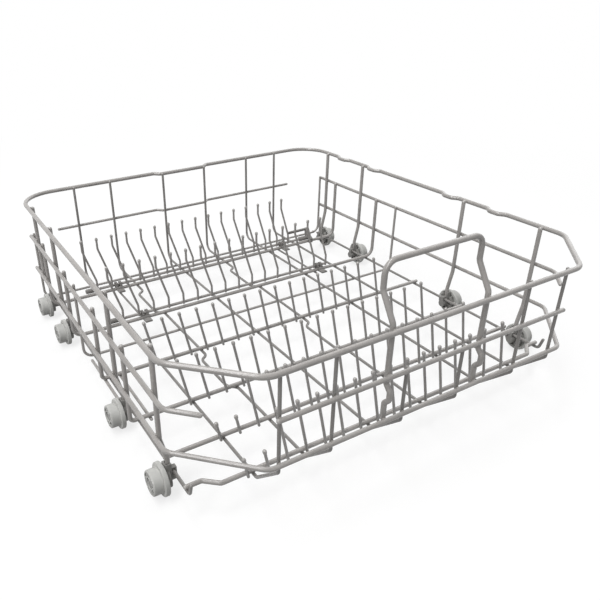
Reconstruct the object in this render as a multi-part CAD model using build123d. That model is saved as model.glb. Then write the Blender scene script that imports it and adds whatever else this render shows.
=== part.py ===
from build123d import *
import os

os.makedirs("parts", exist_ok=True)

# Wire sizes: diameters of the coated round wires
rim_wire = 5.4
rail_wire = 4.7
post_wire = 5.0
bar_wire = 4.8
floor_wire = 3.5
back_wire = 4.0
handle_wire = 5.5
rod_wire = 4.0
tine_wire = 3.0
link_wire = 3.0
weld_gap = 0.02

# The top rim, on the centre line of its wire
rim_width = 500.0
rim_depth = 553.0
rim_level = 163.5
front_cut = 63.0
front_bend = 22.0
back_bend = 46.0
recess_half = 37.0
recess_depth = 8.0
recess_bend = 7.0
first_notch = 156.0
second_notch = 231.0
third_notch_from_back = 168.5
fourth_notch_from_back = 95.5
notch_length = 28.0
notch_depth = 6.0
notch_ramp = 8.0
notch_bend = 6.0

# Levels of the other wires above the ground
upper_rail_level = 117.5
back_rail_level = 105.0
lower_rail_level = 69.5
bar_level = 28.0
wire_end = 2.0

# Rails: how far back and how far round the cut corners they run
rail_back = 517.0
lower_cut = 66.0
side_rail_turn = 25.0
front_rail_half = 178.0
back_rail_half = 204.0
rail_bend = 16.0

# Upright posts over the wheels, measured back from the front of the rim
first_post = 90.0
second_post = 204.0
third_post = 405.5
fourth_post = 494.0
post_bend_top = 100.0
post_bend_drop = 25.0
post_bend = 14.0

# Floor wires that run front to back, and the wire along each side of the floor
outer_floor_wire = 172.5
middle_floor_wire = 117.5
inner_floor_wire = 35.5
floor_front = 40.0
floor_knee_drop = 105.0
floor_front_bend = 5.0
floor_back_bend = 12.0
rear_step = 451.0
front_step = 248.0
step_shift = 9.5
step_length = 7.0
step_run = 85.0
step_bend = 5.0
edge_inset = 15.2
edge_back = 503.0
edge_front = 52.0
edge_hook_rise = 15.0
edge_hook_reach = 4.0
edge_hook_bend = 5.0

# Cross bars of the floor, measured back from the front of the rim
jogged_bar = 46.3
jog_shift = 12.0
jog_start = 28.8
jog_end = 14.8
jog_bend = 5.0
short_bar = 103.5
third_bar = 171.0
fourth_bar = 259.5
low_bar = 326.0
front_rack_bar = 368.5
rear_rack_bar = 470.0
last_bar = 514.0
bar_bend = 12.0
one_leg_bend = 5.0
bar_stub = 3.5
leg_end = 4.0
stay_inset = 27.0
stay_end = 4.5
spur_inset = 9.0
spur_front = 214.0
spur_back = 311.0

# Plate tines: one column pitch for every row
tine_pitch = 22.7
tine_first = -8
tine_last = 7
tine_below = 3.3
tine_above = 50.0
short_tine_above = 18.0
short_tine_count = 2
first_lean = 16.7
second_lean = 18.0
third_lean = 21.7
fourth_lean = 22.2
tine_round = 1.2

# Folding racks: a rod over its cross bar, with S-bent tines
rod_back = 3.4
rod_rise = 5.4
rod_left = 194.0
rod_right = 198.0
rack_foot_below = 1.5
rack_foot_above = 12.0
rack_reach = 33.0
rack_slope_top = 48.0
rack_tine_top = 65.0
rack_tine_bend = 10.0

# Rack clips that snap on the cross bar and carry the rod
left_clip = 149.5
right_clip_column = 6
clip_width = 14.0
clip_slot = 4.8
clip_slot_level = 3.2
clip_wall = 2.2
clip_lip = 1.2
clip_tab_length = 11.0
clip_tab_thick = 2.0
pivot_clearance = 0.05
snap_gap = 0.02
left_link = 151.0
right_link = 129.0
link_end = 5.0

# Plastic lever and end cap on the rods
lever_from = 176.0
grip_from = 157.2
grip_back = 5.0
grip_rise = 13.5
grip_depth = 3.6
grip_height = 4.0
lever_wall = 1.6
lever_arm_width = 7.0
lever_nose_drop = 7.0
lever_nose_gap = 0.8
lever_nose_thick = 2.4
cap_length = 12.5
cap_wall = 1.4
cap_end = 2.0

# Handle of bent wire at the front
handle_half = 58.0
handle_rise = 57.0
handle_back = 16.0
handle_lean_from = 5.0
handle_lean_to = 31.0
handle_top_bend = 12.0
handle_bend = 9.0
crook_top = 56.0
crook_bottom = 77.0
crook_slope = 6.0
crook_reach = 5.4
crook_bend = 3.5

# Wheels with an inner flange, turning on a pin of the wheel clip
flange_radius = 17.0
flange_width = 5.0
tread_radius = 12.9
wheel_width = 15.0
flange_edge = 1.0
tread_edge = 1.6
hub_radius = 7.0
pin_radius = 4.0
pin_clearance = 0.05
head_radius = 5.6
head_length = 2.0
head_play = 0.4
counterbore_depth = 3.2
inner_pocket_radius = 13.4
inner_pocket_depth = 3.6
outer_pocket_depth = 5.0
pocket_wall = 2.2
rib_count = 6
rib_thick = 1.6

# Wheel clips, snapped on the edge wire and the foot of the post
clip_hub_gap = 0.4
clip_fit = 0.15
clip_plate_radius = 10.6
clip_plate = 1.8
clip_rib = 1.2
clip_rib_height = 2.2
clip_rib_count = 8
clip_cheek = 1.5
clip_cheek_top = 34.0
clip_jaw = 1.6
clip_hook = 1.6
clip_hook_width = 5.0
wheel_gap = 0.5

# Places that follow from the sizes above
front = -rim_depth / 2
back = rim_depth / 2
rim_half = rim_width / 2
inner_half = rim_half - rim_wire / 2
inner_front = front + rim_wire / 2
inner_back = back - rim_wire / 2
columns = [tine_pitch * k for k in range(tine_first, tine_last + 1)]


def touch(one, other):
    """Distance between the axes of two wires that are welded where they cross."""
    return (one + other) / 2 + weld_gap


floor_level = bar_level - touch(bar_wire, floor_wire)
low_bar_level = floor_level - touch(floor_wire, floor_wire)
rail_half = inner_half + rail_wire / 2
rail_front = inner_front - rail_wire / 2
post_half = inner_half - post_wire / 2 - weld_gap
edge_x = rim_half - edge_inset
post_foot = edge_x + touch(floor_wire, post_wire)
leg_half = inner_half - bar_wire / 2 - weld_gap
low_leg_half = inner_half - floor_wire / 2 - weld_gap
axle_level = flange_radius
post_places = (first_post, second_post, third_post, fourth_post)


def save(name, shape):
    """Write one piece to its own file."""
    export_step(shape, f"parts/{name}.step")


def bent_wire(points, diameter, bends, closed=False):
    """One round wire, straight between its points and bent at each of them."""
    path = FilletPolyline(*points, radius=bends, close=closed)
    section = Plane(path @ 0, z_dir=path % 0) * Circle(diameter / 2)
    return sweep(section, path=path)


def pair(name, right_shape):
    """A piece of the right side and its mirror image on the left."""
    save(f"{name}_right", right_shape)
    save(f"{name}_left", mirror(right_shape, about=Plane.YZ))


# Top rim: one closed wire with cut front corners and a recess at the back
rim_points = [(front_cut - rim_half, front), (rim_half - front_cut, front), (rim_half, front + front_cut)]
rim_bends = [front_bend, front_bend, front_bend]
rear_notches = (rim_depth - third_notch_from_back, rim_depth - fourth_notch_from_back)
for place in (first_notch, second_notch) + rear_notches:
    start = front + place - notch_length / 2
    stop = front + place + notch_length / 2
    rim_points.append((rim_half, start))
    rim_points.append((rim_half - notch_depth, start + notch_ramp))
    rim_points.append((rim_half - notch_depth, stop - notch_ramp))
    rim_points.append((rim_half, stop))
    rim_bends += [notch_bend] * 4
rim_points.append((rim_half, back))
rim_points.append((recess_half + recess_depth, back))
rim_points.append((recess_half, back - recess_depth))
rim_points.append((-recess_half, back - recess_depth))
rim_points.append((-recess_half - recess_depth, back))
rim_points.append((-rim_half, back))
rim_points.append((-rim_half, front + front_cut))
rim_bends += [back_bend] + [recess_bend] * 4 + [back_bend, front_bend]
rim_path = [(x, y, rim_level) for x, y in rim_points]
save("top_rim", bent_wire(rim_path, rim_wire, rim_bends, closed=True))

# Side rails: along each side, ending a little way round the cut corner
side_rail_path = [
    (rail_half, front + rail_back, upper_rail_level),
    (rail_half, front + front_cut, upper_rail_level),
    (rail_half - side_rail_turn, front + front_cut - side_rail_turn, upper_rail_level),
]
pair("side_rail", bent_wire(side_rail_path, rail_wire, rail_bend))

# Lower rail: one wire round both sides and the front
lower_rail_path = [
    (rail_half, front + rail_back, lower_rail_level),
    (rail_half, front + lower_cut, lower_rail_level),
    (rim_half - lower_cut, rail_front, lower_rail_level),
    (lower_cut - rim_half, rail_front, lower_rail_level),
    (-rail_half, front + lower_cut, lower_rail_level),
    (-rail_half, front + rail_back, lower_rail_level),
]
save("lower_rail", bent_wire(lower_rail_path, rail_wire, rail_bend))

# Front rail: a straight wire across the front
front_rail_plane = Plane((-front_rail_half, rail_front, upper_rail_level), z_dir=(1, 0, 0))
save("front_rail", extrude(front_rail_plane * Circle(rail_wire / 2), 2 * front_rail_half))

# Back rail: across the back, with the same recess as the rim
rail_rear = inner_back + back_wire / 2
back_rail_path = [
    (-back_rail_half, rail_rear, back_rail_level),
    (-recess_half - recess_depth, rail_rear, back_rail_level),
    (-recess_half, rail_rear - recess_depth, back_rail_level),
    (recess_half, rail_rear - recess_depth, back_rail_level),
    (recess_half + recess_depth, rail_rear, back_rail_level),
    (back_rail_half, rail_rear, back_rail_level),
]
save("back_rail", bent_wire(back_rail_path, back_wire, recess_bend))

# Wheel posts: down inside the rails, then in to the edge wire over each wheel
posts = []
for place in post_places:
    post_path = [
        (post_half, front + place, rim_level + wire_end),
        (post_half, front + place, rim_level - post_bend_top),
        (post_foot, front + place, rim_level - post_bend_top - post_bend_drop),
        (post_foot, front + place, floor_level - floor_wire / 2),
    ]
    posts.append(bent_wire(post_path, post_wire, post_bend))
pair("wheel_posts", Compound(children=posts))

# Floor wires: down the back, along the floor, and up the front
front_upright = inner_front + floor_wire / 2 + weld_gap
back_upright = inner_back - floor_wire / 2 - weld_gap
floor_wires = (
    -outer_floor_wire,
    -middle_floor_wire,
    -inner_floor_wire,
    inner_floor_wire,
    middle_floor_wire,
    outer_floor_wire,
)
for number, x in enumerate(floor_wires, 1):
    rear = back_upright - recess_depth if abs(x) < recess_half else back_upright
    top = upper_rail_level if abs(x) == inner_floor_wire else rim_level
    floor_path = [(x, rear, rim_level + wire_end), (x, rear, floor_level)]
    floor_bends = [floor_back_bend]
    if x in (-middle_floor_wire, inner_floor_wire):
        for place in (rear_step, front_step):
            floor_path.append((x, front + place, floor_level))
            floor_path.append((x - step_shift, front + place - step_length, floor_level))
            floor_path.append((x, front + place - step_run, floor_level))
            floor_bends += [step_bend] * 3
    floor_path.append((x, front + floor_front, floor_level))
    floor_path.append((x, front_upright, rim_level - floor_knee_drop))
    floor_path.append((x, front_upright, top + wire_end))
    floor_bends += [floor_front_bend] * 2
    save(f"floor_wire_{number}", bent_wire(floor_path, floor_wire, floor_bends))

# Edge wires: along each side of the floor, hooked up at the front
edge_path = [
    (edge_x, front + edge_back, floor_level),
    (edge_x, front + edge_front, floor_level),
    (edge_x, front + edge_front - edge_hook_reach, floor_level + edge_hook_rise),
]
pair("edge_wire", bent_wire(edge_path, floor_wire, edge_hook_bend))


def leg_points(half, y, level):
    """The two points of a cross bar's right-hand leg, from the floor up to the side rail."""
    return [(half, y, level), (half, y, upper_rail_level + leg_end)]


def mirrored(points):
    """The same points on the other side, in the other order."""
    return [(-x, y, z) for x, y, z in reversed(points)]


# Cross bars on the floor, numbered from the front
stub_end = edge_x + bar_stub
jog_rear = front + jogged_bar + jog_shift
jog_points = [
    (edge_x - jog_start, front + jogged_bar, bar_level),
    (edge_x - jog_end, jog_rear, bar_level),
    (stub_end, jog_rear, bar_level),
]
save("cross_bar_1", bent_wire(mirrored(jog_points) + jog_points, bar_wire, jog_bend))
short_plane = Plane((-stub_end, front + short_bar, bar_level), z_dir=(1, 0, 0))
save("cross_bar_2", extrude(short_plane * Circle(bar_wire / 2), 2 * stub_end))
for number, place in ((3, third_bar), (4, fourth_bar)):
    left_leg = mirrored(leg_points(leg_half, front + place, bar_level))
    one_leg_path = left_leg + [(stub_end, front + place, bar_level)]
    save(f"cross_bar_{number}", bent_wire(one_leg_path, bar_wire, one_leg_bend))
for number, place in ((6, front_rack_bar), (7, rear_rack_bar)):
    right_leg = leg_points(leg_half, front + place, bar_level)
    save(f"cross_bar_{number}", bent_wire(mirrored(right_leg) + right_leg, bar_wire, bar_bend))
for number, place in ((5, low_bar), (8, last_bar)):
    right_leg = leg_points(low_leg_half, front + place, low_bar_level)
    save(f"cross_bar_{number}", bent_wire(mirrored(right_leg) + right_leg, floor_wire, bar_bend))

# Stay and spur on the left: two short straight wires under the bars with one leg
stay_plane = Plane((stay_inset - rim_half, front + third_bar - stay_end, floor_level), z_dir=(0, 1, 0))
save("left_stay", extrude(stay_plane * Circle(floor_wire / 2), fourth_bar - third_bar + 2 * stay_end))
spur_plane = Plane((spur_inset - rim_half, front + spur_front, floor_level), z_dir=(0, 1, 0))
save("left_spur", extrude(spur_plane * Circle(floor_wire / 2), spur_back - spur_front))


def straight_tine(length):
    """An upright tine with a rounded top, standing on the origin."""
    stem = extrude(Circle(tine_wire / 2), length)
    return fillet(stem.edges().sort_by(Axis.Z)[-1], tine_round)


# Fixed tines: welded to the front side of the first four bars, leaning back
tine_offset = touch(bar_wire, tine_wire)
full_tine = straight_tine(tine_below + tine_above)
short_tine = straight_tine(tine_below + short_tine_above)
tine_bars = (
    (jogged_bar, first_lean),
    (short_bar, second_lean),
    (third_bar, third_lean),
    (fourth_bar, fourth_lean),
)
for number, (place, lean) in enumerate(tine_bars, 1):
    row = []
    for index, x in enumerate(columns):
        is_short = index < short_tine_count and place in (jogged_bar, short_bar)
        tine = short_tine if is_short else full_tine
        seat = Pos(x, front + place, bar_level) * Rot(X=-lean) * Pos(0, -tine_offset, -tine_below)
        row.append(seat * tine)
    save(f"tine_row_{number}", Compound(children=row))


# Folding racks: a rod and its row of S-bent tines, on the front side of the rod
rod_level = bar_level + rod_rise
foot_y = -touch(rod_wire, tine_wire)
rack_path = [
    (0, foot_y, -rack_foot_below),
    (0, foot_y, rack_foot_above),
    (0, rack_reach, rack_slope_top),
    (0, rack_reach, rack_tine_top),
]
rack_tine = bent_wire(rack_path, tine_wire, rack_tine_bend)
rack_tine = fillet(rack_tine.edges().sort_by(Axis.Z)[-1], tine_round)
rod = extrude(Plane((-rod_left, 0, 0), z_dir=(1, 0, 0)) * Circle(rod_wire / 2), rod_left + rod_right)
cap_start = -rod_left - cap_end
cap = extrude(Plane((cap_start, 0, 0), z_dir=(1, 0, 0)) * Circle(rod_wire / 2 + cap_wall), cap_length)
cap = fillet(cap.edges().sort_by(Axis.X)[0], cap_wall)
cap -= extrude(Plane((-rod_left - weld_gap, 0, 0), z_dir=(1, 0, 0)) * Circle(rod_wire / 2 + snap_gap), cap_length)
for rack, place in (("front_rack", front_rack_bar), ("rear_rack", rear_rack_bar)):
    seat = Pos(0, front + place + rod_back, rod_level)
    save(f"{rack}_rod", seat * rod)
    save(f"{rack}_tines", Compound(children=[seat * Pos(X=x) * rack_tine for x in columns]))
    save(f"{rack}_cap", seat * cap)

# Lever on the right end of the rear rod: a sleeve, a raised grip and a nose in front of the bar
sleeve_radius = rod_wire / 2 + lever_wall
lever_length = rod_right - lever_from
lever = extrude(Plane((lever_from, 0, 0), z_dir=(1, 0, 0)) * Circle(sleeve_radius), lever_length)
nose_back = -rod_back - bar_wire / 2 - lever_nose_gap
nose_front = nose_back - lever_nose_thick
arm_points = [
    (nose_front, -lever_nose_drop),
    (nose_back, -lever_nose_drop),
    (nose_back, 0),
    (sleeve_radius, 0),
    (grip_back + grip_depth / 2, grip_rise + grip_height / 2),
    (grip_back - grip_depth / 2, grip_rise + grip_height / 2),
    (-sleeve_radius, sleeve_radius),
    (nose_front, 0),
]
arm_plane = Plane(origin=(rod_right - lever_arm_width, 0, 0), x_dir=(0, 1, 0), z_dir=(1, 0, 0))
lever += extrude(arm_plane * make_face(Polyline(*arm_points, close=True)), lever_arm_width)
grip_centre = ((grip_from + rod_right) / 2, grip_back, grip_rise)
grip = Pos(*grip_centre) * Box(rod_right - grip_from, grip_depth, grip_height)
lever += fillet(grip.edges().filter_by(Axis.X), grip_depth / 4)
lever -= extrude(Plane((lever_from, 0, 0), z_dir=(1, 0, 0)) * Circle(rod_wire / 2 + snap_gap), lever_length)
save("rear_rack_lever", Pos(0, front + rear_rack_bar + rod_back, rod_level) * lever)

# Rack clips: a jaw open below over the bar, and two eyes for the rod with a slot for a tine between
bar_jaw = bar_wire / 2 + clip_wall
rod_eye = rod_wire / 2 + clip_wall
clip_section = Circle(bar_jaw) + Pos(rod_back, rod_rise) * Circle(rod_eye)
clip_section += Pos(rod_back / 2, rod_rise / 2) * Rectangle(2 * clip_wall + rod_wire, rod_rise)
clip_section += Pos(-bar_jaw - clip_tab_length / 2, 0) * Rectangle(clip_tab_length + 2 * clip_wall, clip_tab_thick)
clip_section -= Pos(0, -clip_lip - bar_jaw) * Rectangle(4 * bar_jaw, 2 * bar_jaw)
clip_section -= Circle(bar_wire / 2 + snap_gap)
clip_section -= Pos(rod_back, rod_rise) * Circle(rod_wire / 2 + pivot_clearance)
clip_plane = Plane(origin=(-clip_width / 2, 0, 0), x_dir=(0, 1, 0), z_dir=(1, 0, 0))
rack_clip = extrude(clip_plane * clip_section, clip_width)
clip_top = rod_rise + rod_eye
slot_middle = (0, 0, (clip_slot_level + clip_top) / 2)
rack_clip -= Pos(*slot_middle) * Box(clip_slot, 4 * bar_jaw, clip_top - clip_slot_level)
for rack, place in (("front_rack", front_rack_bar), ("rear_rack", rear_rack_bar)):
    for side, x in (("left", -left_clip), ("right", tine_pitch * right_clip_column)):
        save(f"{rack}_clip_{side}", Pos(x, front + place, bar_level) * rack_clip)

# Rack links: two thin wires under the two bars that carry the racks
link_level = bar_level - touch(bar_wire, link_wire)
link_length = rear_rack_bar - front_rack_bar + 2 * link_end
for side, x in (("left", -left_link), ("right", right_link)):
    link_plane = Plane((x, front + front_rack_bar - link_end, link_level), z_dir=(0, 1, 0))
    save(f"rack_link_{side}", extrude(link_plane * Circle(link_wire / 2), link_length))

# Handle: one wire up from the lower rail, past the rim and over
handle_y = inner_front + handle_wire / 2 + weld_gap
handle_leg = [
    (handle_half, handle_y + handle_back, rim_level + handle_rise),
    (handle_half, handle_y + handle_back, rim_level + handle_lean_to),
    (handle_half, handle_y, rim_level + handle_lean_from),
    (handle_half, handle_y, rim_level - crook_top),
    (handle_half, handle_y - crook_reach, rim_level - crook_top - crook_slope),
    (handle_half, handle_y - crook_reach, rim_level - crook_bottom + crook_slope),
    (handle_half, handle_y, rim_level - crook_bottom),
    (handle_half, handle_y, lower_rail_level - rail_wire / 2),
]
leg_bends = [handle_bend] * 2 + [crook_bend] * 4
handle_bends = leg_bends[::-1] + [handle_top_bend] * 2 + leg_bends
save("handle", bent_wire(mirrored(handle_leg) + handle_leg, handle_wire, handle_bends))


def turned(radius, start, length):
    """A round disc or pin on the axle of a right-hand wheel, from start outwards."""
    return extrude(Plane((start, 0, 0), z_dir=(1, 0, 0)) * Circle(radius), length)


def pocket(outer_radius, start, length):
    """Ring of pockets round the hub, parted by the ribs."""
    ring = turned(outer_radius, start, length) - turned(hub_radius, start, length)
    for index in range(rib_count // 2):
        ring -= Rot(X=360 / rib_count * index) * Pos(X=start + length / 2) * Box(length, 4 * outer_radius, rib_thick)
    return ring


# Wheels: flanged on the inside, with ribbed pockets in both faces
clip_face = post_foot + post_wire / 2 + clip_fit + clip_plate
wheel_start = clip_face + wheel_gap
wheel_end = wheel_start + wheel_width
flange = turned(flange_radius, wheel_start, flange_width)
flange = fillet(flange.edges().filter_by(GeomType.CIRCLE), flange_edge)
tread = turned(tread_radius, wheel_start, wheel_width)
tread = fillet(tread.edges().sort_by(Axis.X)[-1], tread_edge)
wheel = flange + tread
wheel -= turned(pin_radius + pin_clearance, wheel_start, wheel_width)
wheel -= turned(head_radius + head_play, wheel_end - counterbore_depth, counterbore_depth)
wheel -= pocket(inner_pocket_radius, wheel_start, inner_pocket_depth)
wheel -= pocket(tread_radius - pocket_wall, wheel_end - outer_pocket_depth, outer_pocket_depth)

# Wheel clips: a ribbed plate and a hub with the pin, and a hook and cheeks round the wires
clip_hub_radius = floor_level - floor_wire / 2 - clip_hub_gap - axle_level
plate_start = clip_face - clip_plate
rib_start = plate_start - clip_rib_height
jaw_inside = edge_x - floor_wire / 2 - clip_fit
clip_start = jaw_inside - clip_jaw
cheek_inside = edge_x + floor_wire / 2 + clip_fit
channel = post_wire / 2 + clip_fit
cheek_half = channel + clip_cheek
cheek_height = clip_cheek_top - axle_level
hook_level = floor_level + floor_wire / 2 + clip_fit - axle_level
head_start = wheel_end - counterbore_depth + head_play
wheel_clip = turned(clip_plate_radius, rib_start, clip_face - rib_start)
wheel_clip -= turned(clip_plate_radius - clip_rib, rib_start, clip_rib_height)
for index in range(clip_rib_count // 2):
    rib_turn = Rot(X=360 / clip_rib_count * (index + 0.5))
    wheel_clip += rib_turn * Pos(X=plate_start - clip_rib_height / 2) * Box(
        clip_rib_height, 2 * clip_plate_radius - clip_rib, clip_rib
    )
cheek_width = clip_face - cheek_inside
cheek_centre = ((clip_face + cheek_inside) / 2, 0, cheek_height / 2)
wheel_clip += Pos(*cheek_centre) * Box(cheek_width, 2 * cheek_half, cheek_height)
wheel_clip += turned(clip_hub_radius, clip_start, clip_face - clip_start)
jaw_height = hook_level + clip_hook
jaw_centre = (jaw_inside - clip_jaw / 2, 0, jaw_height / 2)
wheel_clip += Pos(*jaw_centre) * Box(clip_jaw, clip_hook_width, jaw_height)
hook_reach = post_foot - post_wire / 2 - clip_fit - clip_start
hook_centre = (clip_start + hook_reach / 2, 0, hook_level + clip_hook / 2)
wheel_clip += Pos(*hook_centre) * Box(hook_reach, clip_hook_width, clip_hook)
slot_width = post_foot + post_wire / 2 + clip_fit - cheek_inside
slot_bottom = floor_level - floor_wire / 2 - clip_fit - axle_level
slot_height = cheek_height - slot_bottom
slot_centre = (cheek_inside + slot_width / 2, 0, slot_bottom + slot_height / 2)
wheel_clip -= Pos(*slot_centre) * Box(slot_width, 2 * channel, slot_height)
wheel_clip += turned(pin_radius, clip_face, head_start - clip_face)
pin_head = turned(head_radius, head_start, head_length)
wheel_clip += chamfer(pin_head.edges().sort_by(Axis.X)[-1], head_length / 2)

# Each wheel and clip at its post, on both sides
for number, place in enumerate(post_places, 1):
    axle = Pos(0, front + place, axle_level)
    for side, turn in (("right", 0), ("left", 180)):
        save(f"wheel_{side}_{number}", axle * Rot(Z=turn) * wheel)
        save(f"wheel_clip_{side}_{number}", axle * Rot(Z=turn) * wheel_clip)
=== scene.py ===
import math
import bmesh
import bpy
from mathutils import Matrix, Vector


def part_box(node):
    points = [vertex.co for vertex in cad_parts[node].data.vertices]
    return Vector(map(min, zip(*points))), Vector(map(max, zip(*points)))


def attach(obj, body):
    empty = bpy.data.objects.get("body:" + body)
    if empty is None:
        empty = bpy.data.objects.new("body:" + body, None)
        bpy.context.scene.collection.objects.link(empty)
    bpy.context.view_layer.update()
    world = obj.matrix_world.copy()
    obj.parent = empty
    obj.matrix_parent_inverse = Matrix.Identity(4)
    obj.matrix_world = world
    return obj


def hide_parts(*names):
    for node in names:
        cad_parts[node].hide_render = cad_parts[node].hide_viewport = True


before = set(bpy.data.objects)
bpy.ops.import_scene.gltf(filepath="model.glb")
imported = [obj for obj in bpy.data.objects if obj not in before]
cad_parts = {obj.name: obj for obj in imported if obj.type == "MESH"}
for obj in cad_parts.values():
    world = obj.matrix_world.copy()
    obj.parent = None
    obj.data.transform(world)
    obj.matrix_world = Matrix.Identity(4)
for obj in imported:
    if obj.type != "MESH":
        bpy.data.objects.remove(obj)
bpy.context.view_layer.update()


# Top rim: one closed loop of steel wire with cut front corners, round back corners, a recess at the
# back and four notches on the right. Like every wire it is bent cold, welded to its neighbours and
# then dipped in warm grey nylon, which softens the ends and leaves a faint orange-peel skin.
MM = 0.001
wire_sides = 20
bend_steps = 8
seam_gap = 0.01 * MM


def add_node(tree, kind, inputs=(), **settings):
    """One node of a tree, with its settings, and a value or a link on each input named."""
    node = tree.nodes.new(kind)
    for name, value in settings.items():
        setattr(node, name, value)
    for key, value in dict(inputs).items():
        if isinstance(value, bpy.types.NodeSocket):
            tree.links.new(value, node.inputs[key])
        else:
            node.inputs[key].default_value = value
    return node


def bare_tree(owner):
    """The emptied node tree of a material or a world."""
    owner.use_nodes = True
    owner.node_tree.nodes.clear()
    return owner.node_tree


def two_tone(tree, cloud, tones):
    """A colour that follows a noise, between two (place, colour) tones."""
    ramp = add_node(tree, "ShaderNodeValToRGB", {"Fac": cloud.outputs["Fac"]})
    for element, (place, colour) in zip(ramp.color_ramp.elements, tones):
        element.position = place
        element.color = colour
    return ramp.outputs["Color"]


def dipped_nylon(name, deep, pale, rubbed):
    """Nylon coat: cloudy colour from the dip, a fine orange peel, paler where tips are rubbed."""
    material = bpy.data.materials.new(name)
    tree = bare_tree(material)
    place = add_node(tree, "ShaderNodeTexCoord").outputs["Object"]
    cloud = add_node(tree, "ShaderNodeTexNoise", {"Vector": place, "Scale": 45.0, "Detail": 4.0})
    fleck = add_node(tree, "ShaderNodeTexNoise", {"Vector": place, "Scale": 420.0, "Detail": 2.0})
    peel = add_node(tree, "ShaderNodeTexNoise", {"Vector": place, "Scale": 900.0, "Detail": 1.0})
    tint = two_tone(tree, cloud, ((0.32, deep), (0.68, pale)))
    tip = add_node(tree, "ShaderNodeAttribute", attribute_name="tip").outputs["Fac"]
    worn = add_node(tree, "ShaderNodeMath", {0: tip, 1: fleck.outputs["Fac"]}, operation="MULTIPLY")
    share, under, over, mixed = 0, 6, 7, 2  # where a Mix node keeps its colour sockets
    colour = add_node(tree, "ShaderNodeMix", {
        share: worn.outputs[0], under: tint, over: rubbed,
    }, data_type="RGBA")
    gloss = add_node(tree, "ShaderNodeMapRange", {
        "Value": fleck.outputs["Fac"], "To Min": 0.2, "To Max": 0.32,
    })
    skin = add_node(tree, "ShaderNodeBump", {
        "Height": peel.outputs["Fac"], "Strength": 0.25, "Distance": 0.06 * MM,
    })
    shade = add_node(tree, "ShaderNodeBsdfPrincipled", {
        "Base Color": colour.outputs[mixed], "Roughness": gloss.outputs["Result"],
        "Normal": skin.outputs["Normal"], "IOR": 1.5, "Specular IOR Level": 0.75,
    })
    add_node(tree, "ShaderNodeOutputMaterial", {"Surface": shade.outputs["BSDF"]})
    return material


def open_tree(name, kinds, result):
    """A new tree with named inputs and one result, and the identifiers of its inputs."""
    tree = bpy.data.node_groups.new(name, "GeometryNodeTree")
    keys = {}
    for label, kind in kinds.items():
        keys[label] = tree.interface.new_socket(label, in_out="INPUT", socket_type=kind).identifier
    tree.interface.new_socket(result, in_out="OUTPUT", socket_type="NodeSocketGeometry")
    return tree, keys


def close_tree(tree, result, shapes, coat):
    """The end of a tree: smooth faces, real copies instead of instances, and the coat on them."""
    smooth = add_node(tree, "GeometryNodeSetShadeSmooth", {"Geometry": shapes.outputs[0]})
    real = add_node(tree, "GeometryNodeRealizeInstances", {"Geometry": smooth.outputs[0]})
    coated = add_node(tree, "GeometryNodeSetMaterial", {"Geometry": real.outputs[0], "Material": coat})
    add_node(tree, "NodeGroupOutput", {result: coated.outputs[0]})


def coated_wire_tree():
    """Turns loose routes into bent round wires, and repeats them in a row."""
    tree, keys = open_tree("coated_wire", {
        "Route": "NodeSocketGeometry", "Wire radius": "NodeSocketFloat", "Wire sides": "NodeSocketInt",
        "Bend steps": "NodeSocketInt", "Repeats": "NodeSocketInt", "Repeat step": "NodeSocketVector",
        "Coat": "NodeSocketMaterial",
    }, "Wire")
    given = add_node(tree, "NodeGroupInput").outputs
    bend = add_node(tree, "GeometryNodeInputNamedAttribute", {"Name": "bend"}, data_type="FLOAT")
    girth = add_node(tree, "GeometryNodeInputNamedAttribute", {"Name": "girth"}, data_type="FLOAT")
    route = add_node(tree, "GeometryNodeMeshToCurve", {"Mesh": given["Route"]})
    bent = add_node(tree, "GeometryNodeFilletCurve", {
        "Curve": route.outputs[0], "Count": given["Bend steps"], "Radius": bend.outputs[0],
    }, mode="POLY")
    section = add_node(tree, "GeometryNodeCurvePrimitiveCircle", {
        "Resolution": given["Wire sides"], "Radius": given["Wire radius"],
    })
    tube = add_node(tree, "GeometryNodeCurveToMesh", {
        "Curve": bent.outputs[0], "Profile Curve": section.outputs[0],
        "Scale": girth.outputs[0], "Fill Caps": True,
    })
    closed = add_node(tree, "GeometryNodeMergeByDistance", {
        "Geometry": tube.outputs[0], "Distance": seam_gap,
    })
    row = add_node(tree, "GeometryNodeMeshLine", {
        "Count": given["Repeats"], "Offset": given["Repeat step"],
    }, mode="OFFSET")
    repeated = add_node(tree, "GeometryNodeInstanceOnPoints", {
        "Points": row.outputs[0], "Instance": closed.outputs[0],
    })
    close_tree(tree, "Wire", repeated, given["Coat"])
    return tree, keys


def tip_shape(swell, hold):
    """Rings of a dipped wire end as (distance from the end, girth), both in wire radii."""
    dome_angles = (10, 35, 62, 90)
    rings = []
    for angle in dome_angles:
        turn = math.radians(angle)
        rings.append((swell * (1 - math.cos(turn)), swell * math.sin(turn)))
    if hold:
        taper = 1.4
        rings += [(hold, swell), (hold + taper / 2, (1 + 2 * swell) / 3), (hold + taper, 1.0)]
    return rings


plain_tip = tip_shape(swell=1.0, hold=0.0)


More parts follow.
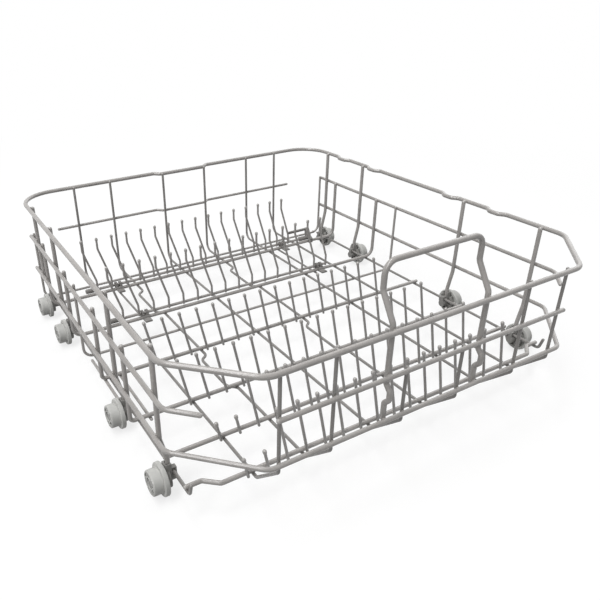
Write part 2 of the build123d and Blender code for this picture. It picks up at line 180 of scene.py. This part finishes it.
def wire_route(points, bends, radius, closed=False, first_tip=plain_tip, last_tip=plain_tip):
    """One wire as stops (place, bend radius, girth, how far it is a tip)."""
    points = [Vector(p) for p in points]
    if closed:
        return [(p, b, 1.0, 0.0) for p, b in zip(points, bends)], True
    if not hasattr(bends, "__len__"):
        bends = [bends] * (len(points) - 2)
    stops = [(p, b, 1.0, 0.0) for p, b in zip(points[1:-1], bends)]
    head = (points[1] - points[0]).normalized() * radius
    tail = (points[-2] - points[-1]).normalized() * radius
    first = [(points[0] + head * along, 0.0, girth, 1.0) for along, girth in first_tip]
    last = [(points[-1] + tail * along, 0.0, girth, 1.0) for along, girth in last_tip]
    first[-1] = first[-1][:3] + (0.0,)  # the rubbing fades out at a tip's last ring
    last[-1] = last[-1][:3] + (0.0,)
    return first + stops + last[::-1], False


def set_out(name, data):
    """A new object of the scene, at the origin."""
    obj = bpy.data.objects.new(name, data)
    bpy.context.scene.collection.objects.link(obj)
    return obj


def grow(obj, tree, keys, settings):
    """Run a tree on an object and keep its result as a plain mesh with its faces outwards."""
    modifier = obj.modifiers.new(tree.name, "NODES")
    modifier.node_group = tree
    for key, value in settings.items():
        modifier[keys[key]] = value
    made = bpy.data.meshes.new_from_object(obj.evaluated_get(bpy.context.evaluated_depsgraph_get()))
    obj.modifiers.clear()
    obj.data = made
    shell = bmesh.new()
    shell.from_mesh(made)
    bmesh.ops.recalc_face_normals(shell, faces=shell.faces)
    shell.to_mesh(made)
    shell.free()


wire_tree, wire_keys = coated_wire_tree()


def bend_wires(name, routes, radius, coat, nodes, body="basket", repeats=1, step=(0, 0, 0)):
    """A piece of one or more coated wires that stands for CAD nodes and rides on their body."""
    mesh = bpy.data.meshes.new(name)
    stops, edges = [], []
    for route, closed in routes:
        start = len(stops)
        stops += route
        edges += [(i, i + 1) for i in range(start, len(stops) - 1)]
        if closed:
            edges.append((len(stops) - 1, start))
    mesh.from_pydata([s[0] for s in stops], edges, [])
    for place, attribute in enumerate(("bend", "girth", "tip"), 1):
        layer = mesh.attributes.new(attribute, "FLOAT", "POINT")
        layer.data.foreach_set("value", [s[place] for s in stops])
    wire = set_out(name, mesh)
    grow(wire, wire_tree, wire_keys, {
        "Wire radius": radius, "Wire sides": wire_sides, "Bend steps": bend_steps,
        "Repeats": repeats, "Repeat step": step, "Coat": coat,
    })
    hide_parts(*nodes)
    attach(wire, body)


def middle(low, high):
    """The centre of a box."""
    return (low + high) / 2


grey_nylon = dipped_nylon(
    "grey_nylon", (0.32, 0.304, 0.29, 1), (0.39, 0.371, 0.355, 1), (0.48, 0.465, 0.45, 1),
)
rim_low, rim_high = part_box("top_rim")
rim_radius = (rim_high.z - rim_low.z) / 2
rim_level = middle(rim_low, rim_high).z
rim_half = rim_high.x - rim_radius
rim_front = rim_low.y + rim_radius
rim_back = rim_high.y - rim_radius
front_cut = 63 * MM
front_bend = 22 * MM
back_bend = 46 * MM
recess_half = 37 * MM
recess_depth = 8 * MM
recess_bend = 7 * MM
notch_places = (156 * MM, 231 * MM, 384.5 * MM, 457.5 * MM)
notch_length = 28 * MM
notch_depth = 6 * MM
notch_ramp = 8 * MM
notch_bend = 6 * MM
rim_plan = [
    (front_cut - rim_half, rim_front), (rim_half - front_cut, rim_front),
    (rim_half, rim_front + front_cut),
]
rim_bends = [front_bend] * 3
for place in notch_places:
    start = rim_front + place - notch_length / 2
    stop = rim_front + place + notch_length / 2
    rim_plan += [(rim_half, start), (rim_half - notch_depth, start + notch_ramp)]
    rim_plan += [(rim_half - notch_depth, stop - notch_ramp), (rim_half, stop)]
    rim_bends += [notch_bend] * 4
rim_plan += [
    (rim_half, rim_back), (recess_half + recess_depth, rim_back),
    (recess_half, rim_back - recess_depth), (-recess_half, rim_back - recess_depth),
    (-recess_half - recess_depth, rim_back), (-rim_half, rim_back),
    (-rim_half, rim_front + front_cut),
]
rim_bends += [back_bend] + [recess_bend] * 4 + [back_bend, front_bend]
rim_points = [(x, y, rim_level) for x, y in rim_plan]
rim_route = wire_route(rim_points, rim_bends, rim_radius, closed=True)
bend_wires("rim", [rim_route], rim_radius, grey_nylon, ["top_rim"])


# Rails: thinner coated wires under the rim, welded to the posts and floor wires. A side rail runs
# along each side and ends part way round the cut corner, one lower rail goes round the sides and the
# front, and short rails cross front and back.
rail_bend = 16 * MM
side_low, side_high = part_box("side_rail_right")
rail_radius = (side_high.z - side_low.z) / 2
upper_level = middle(side_low, side_high).z
rail_half = side_high.x - rail_radius
rail_back = side_high.y
side_rail_turn = 25 * MM


def other_side(points):
    """The same points mirrored to the left side, in the other order."""
    return [(-x, y, z) for x, y, z in reversed(points)]


side_points = [
    (rail_half, rail_back, upper_level),
    (rail_half, rim_front + front_cut, upper_level),
    (rail_half - side_rail_turn, rim_front + front_cut - side_rail_turn, upper_level),
]
side_routes = [
    wire_route(points, rail_bend, rail_radius) for points in (side_points, other_side(side_points))
]
bend_wires("side_rails", side_routes, rail_radius, grey_nylon, ["side_rail_left", "side_rail_right"])
lower_cut = 66 * MM
lower_low, lower_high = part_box("lower_rail")
lower_level = middle(lower_low, lower_high).z
rail_front = lower_low.y + rail_radius
lower_points = [
    (rail_half, rail_back, lower_level),
    (rail_half, rim_front + lower_cut, lower_level),
    (rim_half - lower_cut, rail_front, lower_level),
]
lower_route = wire_route(lower_points + other_side(lower_points), rail_bend, rail_radius)
bend_wires("lower_rail_wire", [lower_route], rail_radius, grey_nylon, ["lower_rail"])
front_low, front_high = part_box("front_rail")
front_points = [(front_low.x, rail_front, upper_level), (front_high.x, rail_front, upper_level)]
front_route = wire_route(front_points, 0, rail_radius)
bend_wires("front_rail_wire", [front_route], rail_radius, grey_nylon, ["front_rail"])
back_low, back_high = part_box("back_rail")
back_radius = (back_high.z - back_low.z) / 2
back_level = middle(back_low, back_high).z
back_line = back_high.y - back_radius
back_points = [
    (back_high.x, back_line, back_level),
    (recess_half + recess_depth, back_line, back_level),
    (recess_half, back_line - recess_depth, back_level),
]
back_route = wire_route(back_points + other_side(back_points), recess_bend, back_radius)
bend_wires("back_rail_wire", [back_route], back_radius, grey_nylon, ["back_rail"])


# Wheel posts: four thick coated wires a side, welded inside the rim and rails, that turn in to the floor
# over each wheel and carry the basket's weight down to the wheel clips.
post_radius = 2.5 * MM
post_bend_top = 100 * MM
post_bend_drop = 25 * MM
post_bend = 14 * MM
post_low, post_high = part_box("wheel_posts_right")
post_half = post_high.x - post_radius
post_foot = post_low.x + post_radius
post_lines = [middle(*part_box(f"wheel_right_{number}")).y for number in (1, 2, 3, 4)]
post_routes = []
for y in post_lines:
    post_points = [
        (post_half, y, post_high.z),
        (post_half, y, rim_level - post_bend_top),
        (post_foot, y, rim_level - post_bend_top - post_bend_drop),
        (post_foot, y, post_low.z),
    ]
    post_routes.append(wire_route(post_points, post_bend, post_radius))
    post_routes.append(wire_route(other_side(post_points), post_bend, post_radius))
post_nodes = ["wheel_posts_left", "wheel_posts_right"]
bend_wires("wheel_posts", post_routes, post_radius, grey_nylon, post_nodes)


# Floor wires: six thin wires welded to the rim and rails at both ends, coated in a darker copy of the
# grey nylon as painted shade. They come down the back, run along the floor and slope up the front, and
# two of them step aside and back twice. A hooked edge wire in the same painted shade runs along each
# side of the floor.
painted_shade_nylon = dipped_nylon(
    "painted_shade_nylon", (0.2, 0.19, 0.181, 1), (0.26, 0.248, 0.237, 1), (0.36, 0.348, 0.336, 1),
)
floor_low, floor_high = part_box("floor_wire_1")
floor_radius = (floor_high.x - floor_low.x) / 2
floor_level = floor_low.z + floor_radius
floor_front = 40 * MM
floor_knee_drop = 105 * MM
floor_front_bend = 5 * MM
floor_back_bend = 12 * MM
floor_numbers = (1, 2, 3, 4, 5, 6)
stepped_wires = (2, 4)
short_wires = (3, 4)
step_places = (451 * MM, 248 * MM)
step_shift = 9.5 * MM
step_length = 7 * MM
step_run = 77 * MM
step_bend = 9 * MM
wire_end = floor_high.z - rim_level
floor_lines = []
floor_routes = []
for number in floor_numbers:
    low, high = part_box(f"floor_wire_{number}")
    x = high.x - floor_radius
    top = upper_level if number in short_wires else rim_level
    points = [(x, high.y - floor_radius, high.z), (x, high.y - floor_radius, floor_level)]
    bends = [floor_back_bend]
    if number in stepped_wires:
        for place in step_places:
            step_from = rim_front + place
            step_to = step_from - step_run
            points += [
                (x, step_from, floor_level), (x - step_shift, step_from - step_length, floor_level),
                (x - step_shift, step_to + step_length, floor_level), (x, step_to, floor_level),
            ]
            bends += [step_bend] * 4
    points += [
        (x, rim_front + floor_front, floor_level),
        (x, low.y + floor_radius, rim_level - floor_knee_drop),
        (x, low.y + floor_radius, top + wire_end),
    ]
    bends += [floor_front_bend] * 2
    floor_lines.append(x)
    floor_routes.append(wire_route(points, bends, floor_radius))
floor_nodes = [f"floor_wire_{number}" for number in floor_numbers]
bend_wires("floor_wires", floor_routes, floor_radius, painted_shade_nylon, floor_nodes)
edge_low, edge_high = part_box("edge_wire_right")
edge_line = middle(edge_low, edge_high).x
edge_front = 52 * MM
edge_hook_rise = 15 * MM
edge_hook_reach = 4 * MM
edge_hook_bend = 5 * MM
edge_points = [
    (edge_line, edge_high.y, floor_level),
    (edge_line, rim_front + edge_front, floor_level),
    (edge_line, rim_front + edge_front - edge_hook_reach, floor_level + edge_hook_rise),
]
edge_routes = [
    wire_route(points, edge_hook_bend, floor_radius)
    for points in (edge_points, other_side(edge_points))
]
edge_nodes = ["edge_wire_left", "edge_wire_right"]
bend_wires("edge_wires", edge_routes, floor_radius, painted_shade_nylon, edge_nodes)


# Cross bars: coated wires welded across the floor wires. The first has jogged ends, the second is
# straight, two have a leg on the left only, and the others stand up at both sides to the side rails.
# A short stay and a short spur lie on the left, under the bars with one leg.
bar_low, bar_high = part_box("cross_bar_2")
bar_radius = (bar_high.z - bar_low.z) / 2
bar_level = middle(bar_low, bar_high).z
bar_end = bar_high.x
jogged_bar = 1
one_leg_bars = (3, 4)
two_leg_bars = (6, 7)
low_bars = (5, 8)
jog_shift = 12 * MM
jog_length = 14 * MM
jog_end = edge_line - 14.8 * MM
jog_start = jog_end - jog_length
jog_bend = 5 * MM
one_leg_bend = 5 * MM
bar_bend = 12 * MM
bar_lines = {}
bar_routes = []
thin_bar_routes = []
for number in range(1, 9):
    low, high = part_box(f"cross_bar_{number}")
    y = middle(low, high).y
    if number == jogged_bar:
        y = low.y + bar_radius
        jog = [
            (jog_start, y, bar_level), (jog_end, y + jog_shift, bar_level),
            (bar_end, y + jog_shift, bar_level),
        ]
        bar_routes.append(wire_route(other_side(jog) + jog, jog_bend, bar_radius))
    elif number in one_leg_bars:
        left = low.x + bar_radius
        points = [(left, y, high.z), (left, y, bar_level), (high.x, y, bar_level)]
        bar_routes.append(wire_route(points, one_leg_bend, bar_radius))
    elif number in two_leg_bars:
        half = high.x - bar_radius
        leg = [(half, y, bar_level), (half, y, high.z)]
        bar_routes.append(wire_route(other_side(leg) + leg, bar_bend, bar_radius))
    elif number in low_bars:
        half = high.x - floor_radius
        leg = [(half, y, low.z + floor_radius), (half, y, high.z)]
        thin_bar_routes.append(wire_route(other_side(leg) + leg, bar_bend, floor_radius))
    else:
        bar_routes.append(wire_route([(low.x, y, bar_level), (high.x, y, bar_level)], 0, bar_radius))
    bar_lines[number] = y
thick_bars = [f"cross_bar_{number}" for number in bar_lines if number not in low_bars]
thin_bars = [f"cross_bar_{number}" for number in low_bars]
bend_wires("cross_bars", bar_routes, bar_radius, grey_nylon, thick_bars)
bend_wires("low_cross_bars", thin_bar_routes, floor_radius, grey_nylon, thin_bars)
short_routes = []
for name in ("left_stay", "left_spur"):
    low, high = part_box(name)
    x = middle(low, high).x
    short_routes.append(wire_route([(x, low.y, floor_level), (x, high.y, floor_level)], 0, floor_radius))
bend_wires("left_stay_and_spur", short_routes, floor_radius, grey_nylon, ["left_stay", "left_spur"])


# Fixed plate tines: four rows of short wires welded to the front of the first four bars and leaning
# to the left, so that plates stand aslant between them. Each tip carries a bead of nylon from the
# dip. The two left tines of the front rows are cut short, and the last of each row stands further out.
tine_radius = 1.5 * MM
tine_pitch = 22 * MM
tine_shift = -1.7 * MM
first_row_shift = -2.6 * MM
last_tine_out = 5.8 * MM
tine_first = -8
tine_count = 16
tine_last = tine_first + tine_count - 1
tine_below = 3.3 * MM
tine_above = {1: 67 * MM, 2: 64.5 * MM, 3: 62 * MM, 4: 62 * MM}
short_tine_above = 23 * MM
short_tines = {1: 2, 2: 2, 3: 0, 4: 0}
tine_lean = math.radians(12)
weld_gap = 0.02 * MM
tine_up = Vector((-math.sin(tine_lean), 0, math.cos(tine_lean)))
bead_tip = tip_shape(swell=1.38, hold=2.3)


def tine_line(column, row):
    """How far to the right a fixed tine stands on its bar."""
    x = tine_pitch * column + tine_shift
    if row == 1:
        x += first_row_shift
    if column == tine_last:
        x += last_tine_out
    return x


def leaning_tine(column, row, above):
    """The route of one fixed tine, at its place on its bar."""
    y = bar_lines[row] - bar_radius - tine_radius - weld_gap
    foot = Vector((tine_line(column, row), y, bar_level))
    ends = [foot - tine_up * tine_below, foot + tine_up * above]
    return wire_route(ends, 0, tine_radius, last_tip=bead_tip)


tine_rows = (1, 2, 3, 4)
for row in tine_rows:
    short = short_tines[row]
    node = [f"tine_row_{row}"]
    step = (tine_pitch, 0, 0)
    if short:
        route = leaning_tine(tine_first, row, short_tine_above)
        bend_wires(
            f"short_tines_{row}", [route], tine_radius, grey_nylon, node, repeats=short, step=step,
        )
    route = leaning_tine(tine_first + short, row, tine_above[row])
    count = tine_count - short - 1
    bend_wires(
        f"plate_tines_{row}", [route], tine_radius, grey_nylon, node, repeats=count, step=step,
    )
    route = leaning_tine(tine_last, row, tine_above[row])
    bend_wires(f"last_tine_{row}", [route], tine_radius, grey_nylon, node)


# Folding racks: a rod behind each of two bars with sixteen tines welded to it, each bent to the left
# and up again. The rod turns in clips on the bar, so that the whole row can be laid back for pots.
# Two thin link wires run under the clips.
rod_low, rod_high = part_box("front_rack_rod")
rod_radius = (rod_high.z - rod_low.z) / 2
rack_foot_below = 1.5 * MM
rack_foot_above = 15 * MM
rack_shift = 14.5 * MM
rack_slope_top = 63 * MM
rack_tine_top = 80 * MM
rack_tine_bend = 10 * MM
front_rod_past = 3 * MM
rack_row_shift = {"front_rack": 0, "rear_rack": -1.4 * MM}
rack_first = {}
for rack, row_shift in rack_row_shift.items():
    low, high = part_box(f"{rack}_rod")
    rod = middle(low, high)
    rod_end = high.x if rack == "rear_rack" else tine_pitch * tine_last + front_rod_past
    rod_route = wire_route([(low.x, rod.y, rod.z), (rod_end, rod.y, rod.z)], 0, rod_radius)
    bend_wires(f"{rack}_rod_wire", [rod_route], rod_radius, grey_nylon, [f"{rack}_rod"], body=rack)
    foot = rod.y - rod_radius - tine_radius - weld_gap
    x = tine_pitch * tine_first + tine_shift + row_shift
    points = [
        (x, foot, rod.z - rack_foot_below),
        (x, foot, rod.z + rack_foot_above),
        (x - rack_shift, foot, rod.z + rack_slope_top),
        (x - rack_shift, foot, rod.z + rack_tine_top),
    ]
    route = wire_route(points, rack_tine_bend, tine_radius, last_tip=bead_tip)
    bend_wires(
        f"{rack}_tine_wires", [route], tine_radius, grey_nylon, [f"{rack}_tines"],
        body=rack, repeats=tine_count, step=(tine_pitch, 0, 0),
    )
    rack_first[rack] = x
clip_places = {"left": -147 * MM, "right": 141.2 * MM}
link_routes = []
for side, x in clip_places.items():
    low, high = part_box(f"rack_link_{side}")
    link_radius = (high.x - low.x) / 2
    link = middle(low, high)
    x += link.x - middle(*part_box(f"rear_rack_clip_{side}")).x
    link_routes.append(wire_route([(x, low.y, link.z), (x, high.y, link.z)], 0, link_radius))
# The links wear the darker copy of the grey nylon too, which is painted shade.
bend_wires("rack_links", link_routes, link_radius, painted_shade_nylon, ["rack_link_left", "rack_link_right"])


# Handle: one thick coated wire, welded inside the front rails and the rim, that goes up and over and
# leans in above the rim. A crook in each leg reaches forward between the rails.
handle_low, handle_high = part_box("handle")
handle_radius = 2.75 * MM
handle_half = handle_high.x - handle_radius
handle_top = handle_high.z - handle_radius
handle_back = 16 * MM
handle_in = handle_high.y - handle_radius
handle_line = handle_in - handle_back
handle_lean_from = 5 * MM
handle_lean_to = 31 * MM
handle_top_bend = 12 * MM
handle_bend = 9 * MM
crook_top = 56 * MM
crook_bottom = 77 * MM
crook_slope = 6 * MM
crook_reach = 5.4 * MM
crook_bend = 3.5 * MM
handle_leg = [
    (handle_half, handle_in, handle_top),
    (handle_half, handle_in, rim_level + handle_lean_to),
    (handle_half, handle_line, rim_level + handle_lean_from),
    (handle_half, handle_line, rim_level - crook_top),
    (handle_half, handle_line - crook_reach, rim_level - crook_top - crook_slope),
    (handle_half, handle_line - crook_reach, rim_level - crook_bottom + crook_slope),
    (handle_half, handle_line, rim_level - crook_bottom),
    (handle_half, handle_line, handle_low.z),
]
leg_bends = [handle_bend] * 2 + [crook_bend] * 4
handle_bends = leg_bends[::-1] + [handle_top_bend] * 2 + leg_bends
handle_route = wire_route(other_side(handle_leg) + handle_leg, handle_bends, handle_radius)
bend_wires("handle_wire", [handle_route], handle_radius, grey_nylon, ["handle"])


# Welds: every crossing of two wires is a spot weld, and the nylon dip leaves a small fillet there.
# Each is a drop about as wide as the thinner wire, seated in the crook between the two.
def weld_tree():
    """Sets a drop on every point, as large as the point says."""
    tree, keys = open_tree("weld_drops", {
        "Points": "NodeSocketGeometry", "Coat": "NodeSocketMaterial",
    }, "Drops")
    given = add_node(tree, "NodeGroupInput").outputs
    size = add_node(tree, "GeometryNodeInputNamedAttribute", {"Name": "size"}, data_type="FLOAT")
    drop = add_node(tree, "GeometryNodeMeshIcoSphere", {"Radius": 1.0, "Subdivisions": 2})
    drops = add_node(tree, "GeometryNodeInstanceOnPoints", {
        "Points": given["Points"], "Instance": drop.outputs[0], "Scale": size.outputs[0],
    })
    close_tree(tree, "Drops", drops, given["Coat"])
    return tree, keys


drop_tree, drop_keys = weld_tree()


def lay_welds(name, places, body):
    """One piece with all the weld drops of a body, from (place, radius)."""
    mesh = bpy.data.meshes.new(name)
    mesh.from_pydata([place for place, size in places], [], [])
    layer = mesh.attributes.new("size", "FLOAT", "POINT")
    layer.data.foreach_set("value", [size for place, size in places])
    welds = set_out(name, mesh)
    grow(welds, drop_tree, drop_keys, {"Coat": grey_nylon})
    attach(welds, body)


small_weld = 1.7 * MM
large_weld = 2.2 * MM
basket_welds = []
for row in tine_rows:
    for column in range(tine_first, tine_last + 1):
        place = (tine_line(column, row), bar_lines[row] - bar_radius, bar_level)
        basket_welds.append((place, small_weld))
across = floor_lines + [-edge_line, edge_line]
for number, y in bar_lines.items():
    under = floor_level - floor_radius if number in low_bars else floor_level + floor_radius
    for x in across:
        y_here = y + jog_shift if number == jogged_bar and abs(x) == edge_line else y
        basket_welds.append(((x, y_here, under), small_weld))
inside = rail_half - rail_radius
bars_with_leg = {-1: (3, 4, 5, 6, 7, 8), 1: (5, 6, 7, 8)}
for side, numbers in bars_with_leg.items():
    for y in post_lines:
        for level in (rim_level, upper_level, lower_level):
            basket_welds.append(((side * inside, y, level), large_weld))
    for number in numbers:
        for level in (upper_level, lower_level):
            basket_welds.append(((side * inside, bar_lines[number], level), small_weld))
front_inside = rail_front + rail_radius
back_inside = back_line - back_radius
for number, x in enumerate(floor_lines, 1):
    back_place = back_inside - recess_depth if abs(x) < recess_half else back_inside
    levels = [upper_level, lower_level]
    if number not in short_wires:
        levels.insert(0, rim_level)
    basket_welds += [((x, front_inside, level), small_weld) for level in levels]
    basket_welds += [((x, back_place, level), small_weld) for level in (rim_level, back_level)]
for x in (-handle_half, handle_half):
    for level in (rim_level, upper_level, lower_level):
        basket_welds.append(((x, front_inside, level), large_weld))
lay_welds("basket_welds", basket_welds, "basket")
for rack, first in rack_first.items():
    rod = middle(*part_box(f"{rack}_rod"))
    places = [(first + tine_pitch * index, rod.y - rod_radius, rod.z) for index in range(tine_count)]
    lay_welds(f"{rack}_welds", [(place, small_weld) for place in places], rack)


# Rack clips: four dark grey clips, moulded in one, that snap over a bar with a jaw open below and
# hold a rod in two eyes, with a slot between them. A short tab stands out in front of the jaw.
def moulded_plastic(name, deep, pale, roughness):
    """Matt moulded plastic: cloudy colour, a fine mould texture, and scuffed patches."""
    material = bpy.data.materials.new(name)
    tree = bare_tree(material)
    place = add_node(tree, "ShaderNodeTexCoord").outputs["Object"]
    cloud = add_node(tree, "ShaderNodeTexNoise", {"Vector": place, "Scale": 90.0, "Detail": 3.0})
    scuff = add_node(tree, "ShaderNodeTexNoise", {"Vector": place, "Scale": 600.0, "Detail": 4.0})
    tint = two_tone(tree, cloud, ((0.3, deep), (0.7, pale)))
    scuffing = 0.08
    gloss = add_node(tree, "ShaderNodeMapRange", {
        "Value": scuff.outputs["Fac"], "To Min": roughness - scuffing, "To Max": roughness + scuffing,
    })
    skin = add_node(tree, "ShaderNodeBump", {
        "Height": scuff.outputs["Fac"], "Strength": 0.2, "Distance": 0.08 * MM,
    })
    shade = add_node(tree, "ShaderNodeBsdfPrincipled", {
        "Base Color": tint, "Roughness": gloss.outputs["Result"], "Normal": skin.outputs["Normal"],
        "IOR": 1.49, "Specular IOR Level": 0.4,
    })
    add_node(tree, "ShaderNodeOutputMaterial", {"Surface": shade.outputs["BSDF"]})
    return material


dark_plastic = moulded_plastic("dark_plastic", (0.2, 0.192, 0.184, 1), (0.27, 0.26, 0.25, 1), 0.55)
clip_width = 9.5 * MM
tab_cut = 4 * MM
same_corner = 0.001 * MM
for rack in ("front_rack", "rear_rack"):
    for side, x in clip_places.items():
        name = f"{rack}_clip_{side}"
        low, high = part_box(name)
        narrower = clip_width / (high.x - low.x)
        shell = bmesh.new()
        shell.from_mesh(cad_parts[name].data)
        bmesh.ops.remove_doubles(shell, verts=shell.verts, dist=same_corner)
        for vert in shell.verts:
            vert.co.x = x + (vert.co.x - middle(low, high).x) * narrower
            vert.co.y = max(vert.co.y, low.y + tab_cut)
        bmesh.ops.recalc_face_normals(shell, faces=shell.faces)
        mesh = bpy.data.meshes.new(f"{name}_snap")
        shell.to_mesh(mesh)
        shell.free()
        mesh.materials.clear()
        mesh.materials.append(dark_plastic)
        clip = set_out(f"{name}_snap", mesh)
        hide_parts(name)
        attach(clip, "basket")


# Wheels, wheel clips, end caps and lever: moulded plastic with a matt skin from the mould, pale grey
# for the wheels, mid grey for the clips that carry them on a pin, and dark grey for caps and lever.
pale_plastic = moulded_plastic("pale_plastic", (0.5, 0.5, 0.48, 1), (0.57, 0.57, 0.55, 1), 0.5)
mid_plastic = moulded_plastic("mid_plastic", (0.25, 0.245, 0.235, 1), (0.31, 0.305, 0.29, 1), 0.5)
for name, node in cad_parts.items():
    if node.hide_render:  # a piece made above stands for it
        continue
    finish = dark_plastic
    if name.startswith("wheel_clip"):
        finish = mid_plastic
    elif name.startswith("wheel"):
        finish = pale_plastic
    node.data.materials.clear()
    node.data.materials.append(finish)


# Floor, light and camera: a wide white floor that fades into a white backdrop, a long softbox that
# arches from the front left to overhead, a weak bounce from the back right, and the photograph's view.
def seen_by_eye(tree):
    """One where a ray shows the backdrop itself, straight or through a mirror or glass."""
    path = add_node(tree, "ShaderNodeLightPath").outputs
    seen = path["Is Camera Ray"]
    for kind in ("Is Glossy Ray", "Is Transmission Ray"):
        seen = add_node(tree, "ShaderNodeMath", {0: seen, 1: path[kind]}, operation="MAXIMUM").outputs[0]
    return seen


def pick(tree, share, first, second):
    """A mix of two shaders."""
    return add_node(tree, "ShaderNodeMixShader", {0: share, 1: first.outputs[0], 2: second.outputs[0]})


white = (1, 1, 1, 1)
floor_half = 30.0
floor_corners = [(-floor_half, -floor_half, 0), (floor_half, -floor_half, 0)]
floor_corners += [(floor_half, floor_half, 0), (-floor_half, floor_half, 0)]
floor_mesh = bpy.data.meshes.new("floor")
floor_mesh.from_pydata(floor_corners, [], [(0, 1, 2, 3)])
floor = set_out("floor", floor_mesh)
white_floor = bpy.data.materials.new("white_floor")
tree = bare_tree(white_floor)
dim = add_node(tree, "ShaderNodeBsdfDiffuse", {"Color": (0.2, 0.2, 0.2, 1)})
shadowed = add_node(tree, "ShaderNodeBsdfDiffuse", {"Color": white})
lit = add_node(tree, "ShaderNodeEmission", {"Color": white, "Strength": 1.0})
place = add_node(tree, "ShaderNodeTexCoord").outputs["Object"]
away = add_node(tree, "ShaderNodeVectorMath", {0: place}, operation="LENGTH").outputs["Value"]
fade = add_node(tree, "ShaderNodeMapRange", {
    "Value": away, "From Min": 0.4, "From Max": 1.4, "To Min": 0.74, "To Max": 1.0,
}, interpolation_type="SMOOTHSTEP")
shown = pick(tree, seen_by_eye(tree), dim, pick(tree, fade.outputs[0], shadowed, lit))
add_node(tree, "ShaderNodeOutputMaterial", {"Surface": shown.outputs[0]})
floor_mesh.materials.append(white_floor)
world = bpy.data.worlds.new("studio")
bpy.context.scene.world = world
tree = bare_tree(world)
fill = add_node(tree, "ShaderNodeBackground", {"Color": white, "Strength": 0.33})
backdrop = add_node(tree, "ShaderNodeBackground", {"Color": white, "Strength": 1.0})
shown = pick(tree, seen_by_eye(tree), fill, backdrop)
add_node(tree, "ShaderNodeOutputWorld", {"Surface": shown.outputs[0]})


def turned_to(place, across, upward, behind):
    """Where a lamp or camera stands, from the lines along its own axes."""
    return Matrix.Translation(place) @ Matrix((across, upward, behind)).transposed().to_4x4()


softbox_lamp = bpy.data.lights.new("softbox", "AREA")
softbox_lamp.shape = "RECTANGLE"
softbox_lamp.size = 1.1
softbox_lamp.size_y = 6.7
softbox_lamp.energy = 168
softbox_far = 4.0
softbox_turn = 0.27
softbox_height = math.radians(68)
corner_line = Vector((1, -1, 0)).normalized()
front_left = Vector((-1, -1, 0)).normalized()
plumb = Vector((0, 0, 1))
arch = math.cos(softbox_height) * front_left + math.sin(softbox_height) * plumb
along = math.cos(softbox_height) * plumb - math.sin(softbox_height) * front_left
towards = (arch - softbox_turn * corner_line).normalized()
softbox = set_out("softbox", softbox_lamp)
softbox.matrix_world = turned_to(towards * softbox_far, along.cross(towards), along, towards)
softbox.visible_camera = False
bounce_lamp = bpy.data.lights.new("bounce", "SUN")
bounce_lamp.energy = 0.8
bounce_lamp.angle = math.radians(60)
bounce_line = Vector((-0.75, -0.4, -0.5))
bounce = set_out("bounce", bounce_lamp)
bounce.rotation_euler = bounce_line.to_track_quat("-Z", "Y").to_euler()

image_size = 600
sensor_mm = 36
focal_px = 617.3
centre_px = (231.4, 302.6)
yaw = math.radians(28.64)
pitch = math.radians(28.02)
roll = math.radians(1.49)
eye = Vector((-393.2 * MM, rim_front - 324.2 * MM, rim_level + 269.4 * MM))
level_ahead = Vector((math.sin(yaw), math.cos(yaw), 0))
level_right = Vector((math.cos(yaw), -math.sin(yaw), 0))
ahead = math.cos(pitch) * level_ahead - math.sin(pitch) * plumb
level_down = ahead.cross(level_right)
right = math.cos(roll) * level_right + math.sin(roll) * level_down
down = -math.sin(roll) * level_right + math.cos(roll) * level_down
camera_data = bpy.data.cameras.new("camera")
camera_data.sensor_width = sensor_mm
camera_data.lens = sensor_mm * focal_px / image_size
camera_data.shift_x = (image_size / 2 - centre_px[0]) / image_size
camera_data.shift_y = (centre_px[1] - image_size / 2) / image_size
camera_data.clip_start = 10 * MM
camera = set_out("camera", camera_data)
camera.matrix_world = turned_to(eye, right, -down, -ahead)
bpy.context.scene.camera = camera
bpy.context.scene.view_settings.view_transform = "Standard"
